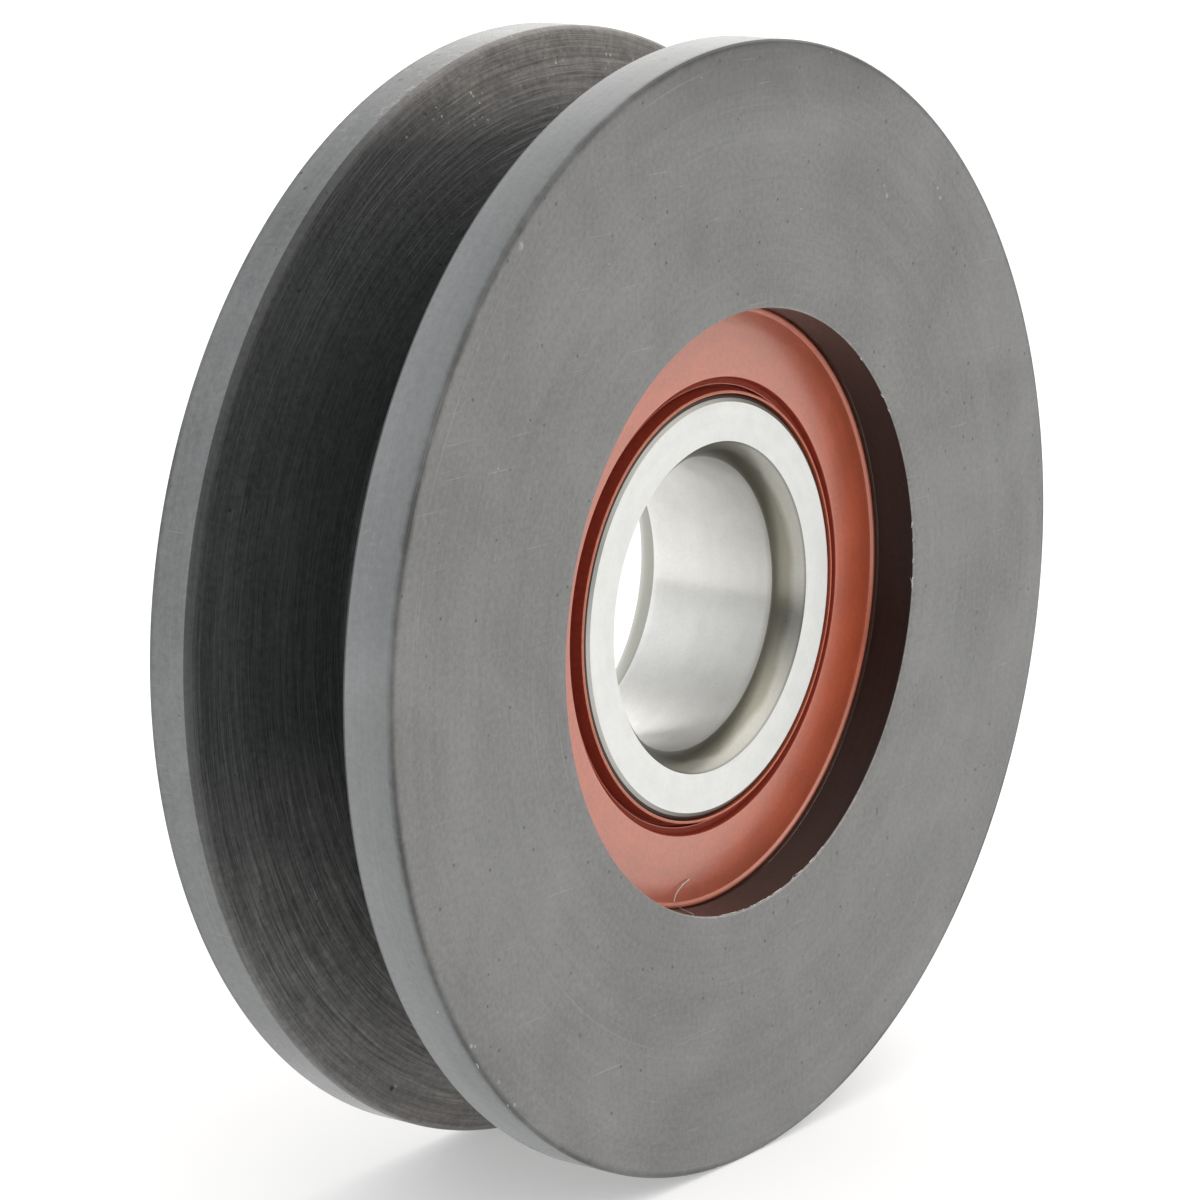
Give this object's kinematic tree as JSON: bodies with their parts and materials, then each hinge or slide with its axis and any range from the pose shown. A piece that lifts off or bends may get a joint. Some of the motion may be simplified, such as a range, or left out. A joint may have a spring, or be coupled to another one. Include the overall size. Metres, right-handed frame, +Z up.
{
  "type": "belt tensioner idler",
  "caption": "Flanged V-belt idler wheel of turned grey plastic, moulded round a rubber-sealed deep groove ball bearing with a plain bore.",
  "frame": {"origin": "centre of the bearing's bore, on the axis of rotation and in the middle of the belt groove", "axes": "+Y along the axis of rotation, from the front face to the back face; the front faces -Y; +Z up"},
  "size_m": [0.0762, 0.0195, 0.0762],
  "materials": {
    "wheel_plastic": "turned charcoal grey filled nylon, matte",
    "bearing_steel": "ground and honed bearing steel",
    "ball_steel": "polished chrome steel balls",
    "cage_steel": "pressed mild steel sheet",
    "insert_steel": "pressed steel washer",
    "seal_rubber": "terracotta red nitrile rubber, smooth"
  },
  "bodies": {
    "inner_race": {"inner_ring": "bearing_steel"},
    "wheel": {"wheel": "wheel_plastic", "outer_ring": "bearing_steel", "front_seal_insert": "insert_steel", "front_seal_rubber": "seal_rubber", "back_seal_insert": "insert_steel", "back_seal_rubber": "seal_rubber"},
    "cage": {"cage_front_half": "cage_steel", "cage_back_half": "cage_steel", "cage_rivets": "cage_steel"},
    "ball_1": {"ball_1": "ball_steel"},
    "ball_2": {"ball_2": "ball_steel"},
    "ball_3": {"ball_3": "ball_steel"},
    "ball_4": {"ball_4": "ball_steel"},
    "ball_5": {"ball_5": "ball_steel"},
    "ball_6": {"ball_6": "ball_steel"},
    "ball_7": {"ball_7": "ball_steel"},
    "ball_8": {"ball_8": "ball_steel"}
  },
  "joints": [
    {"name": "wheel_spin", "type": "hinge", "parent": "inner_race", "child": "wheel", "pos_m": [0, 0, 0], "axis": [0, 1, 0], "continuous": true},
    {"name": "cage_spin", "type": "hinge", "parent": "inner_race", "child": "cage", "pos_m": [0, 0, 0], "axis": [0, 1, 0], "continuous": true},
    {"name": "ball_1_spin", "type": "hinge", "parent": "cage", "child": "ball_1", "pos_m": [0.01675, 0, 0], "axis": [0, 1, 0], "continuous": true},
    {"name": "ball_2_spin", "type": "hinge", "parent": "cage", "child": "ball_2", "pos_m": [0.01184, 0, 0.01184], "axis": [0, 1, 0], "continuous": true},
    {"name": "ball_3_spin", "type": "hinge", "parent": "cage", "child": "ball_3", "pos_m": [0, 0, 0.01675], "axis": [0, 1, 0], "continuous": true},
    {"name": "ball_4_spin", "type": "hinge", "parent": "cage", "child": "ball_4", "pos_m": [-0.01184, 0, 0.01184], "axis": [0, 1, 0], "continuous": true},
    {"name": "ball_5_spin", "type": "hinge", "parent": "cage", "child": "ball_5", "pos_m": [-0.01675, 0, 0], "axis": [0, 1, 0], "continuous": true},
    {"name": "ball_6_spin", "type": "hinge", "parent": "cage", "child": "ball_6", "pos_m": [-0.01184, 0, -0.01184], "axis": [0, 1, 0], "continuous": true},
    {"name": "ball_7_spin", "type": "hinge", "parent": "cage", "child": "ball_7", "pos_m": [0, 0, -0.01675], "axis": [0, 1, 0], "continuous": true},
    {"name": "ball_8_spin", "type": "hinge", "parent": "cage", "child": "ball_8", "pos_m": [0.01184, 0, -0.01184], "axis": [0, 1, 0], "continuous": true}
  ],
  "couplings": [
    {"joint": "cage_spin", "follows": "wheel_spin", "ratio": 0.61848},
    {"joint": "ball_1_spin", "follows": "wheel_spin", "ratio": 1.9916},
    {"joint": "ball_2_spin", "follows": "wheel_spin", "ratio": 1.9916},
    {"joint": "ball_3_spin", "follows": "wheel_spin", "ratio": 1.9916},
    {"joint": "ball_4_spin", "follows": "wheel_spin", "ratio": 1.9916},
    {"joint": "ball_5_spin", "follows": "wheel_spin", "ratio": 1.9916},
    {"joint": "ball_6_spin", "follows": "wheel_spin", "ratio": 1.9916},
    {"joint": "ball_7_spin", "follows": "wheel_spin", "ratio": 1.9916},
    {"joint": "ball_8_spin", "follows": "wheel_spin", "ratio": 1.9916}
  ]
}
